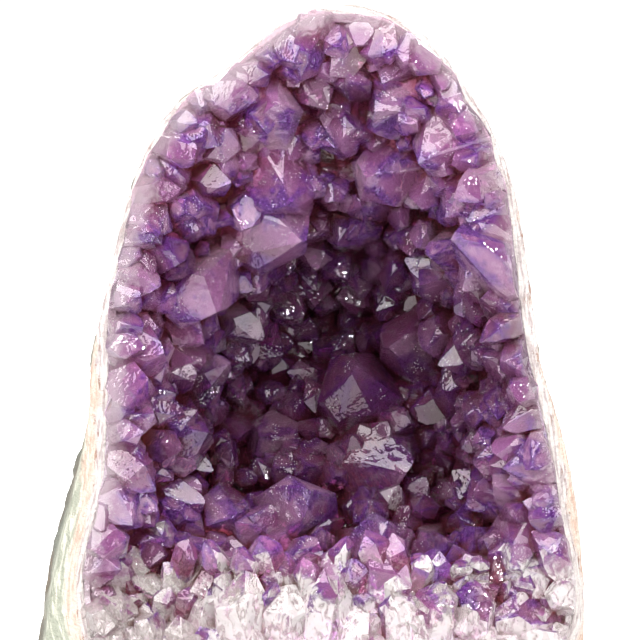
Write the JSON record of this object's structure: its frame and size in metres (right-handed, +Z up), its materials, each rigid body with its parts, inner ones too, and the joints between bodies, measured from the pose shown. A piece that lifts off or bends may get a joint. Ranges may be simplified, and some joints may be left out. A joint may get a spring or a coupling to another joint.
{
  "type": "amethyst geode",
  "caption": "Arch-shaped amethyst geode, cut open at the front and sawn flat underneath, with a crystal-lined hollow in a thin stone rind.",
  "frame": {"origin": "on the sawn flat base, below the middle of the opening", "axes": "+Z up, +X to the right across the opening as seen from the front, -Y out of the front"},
  "size_m": [0.1175, 0.0868, 0.1503],
  "materials": {
    "rind_stone": "rough, weathered, with a banded sawn edge",
    "amethyst": "glossy, cloudy, see-through at the tips",
    "milky_quartz": "glossy, milky, partly see-through"
  },
  "bodies": {
    "root": {"rind": "rind_stone", "crystal_crust": "amethyst"}
  },
  "joints": []
}
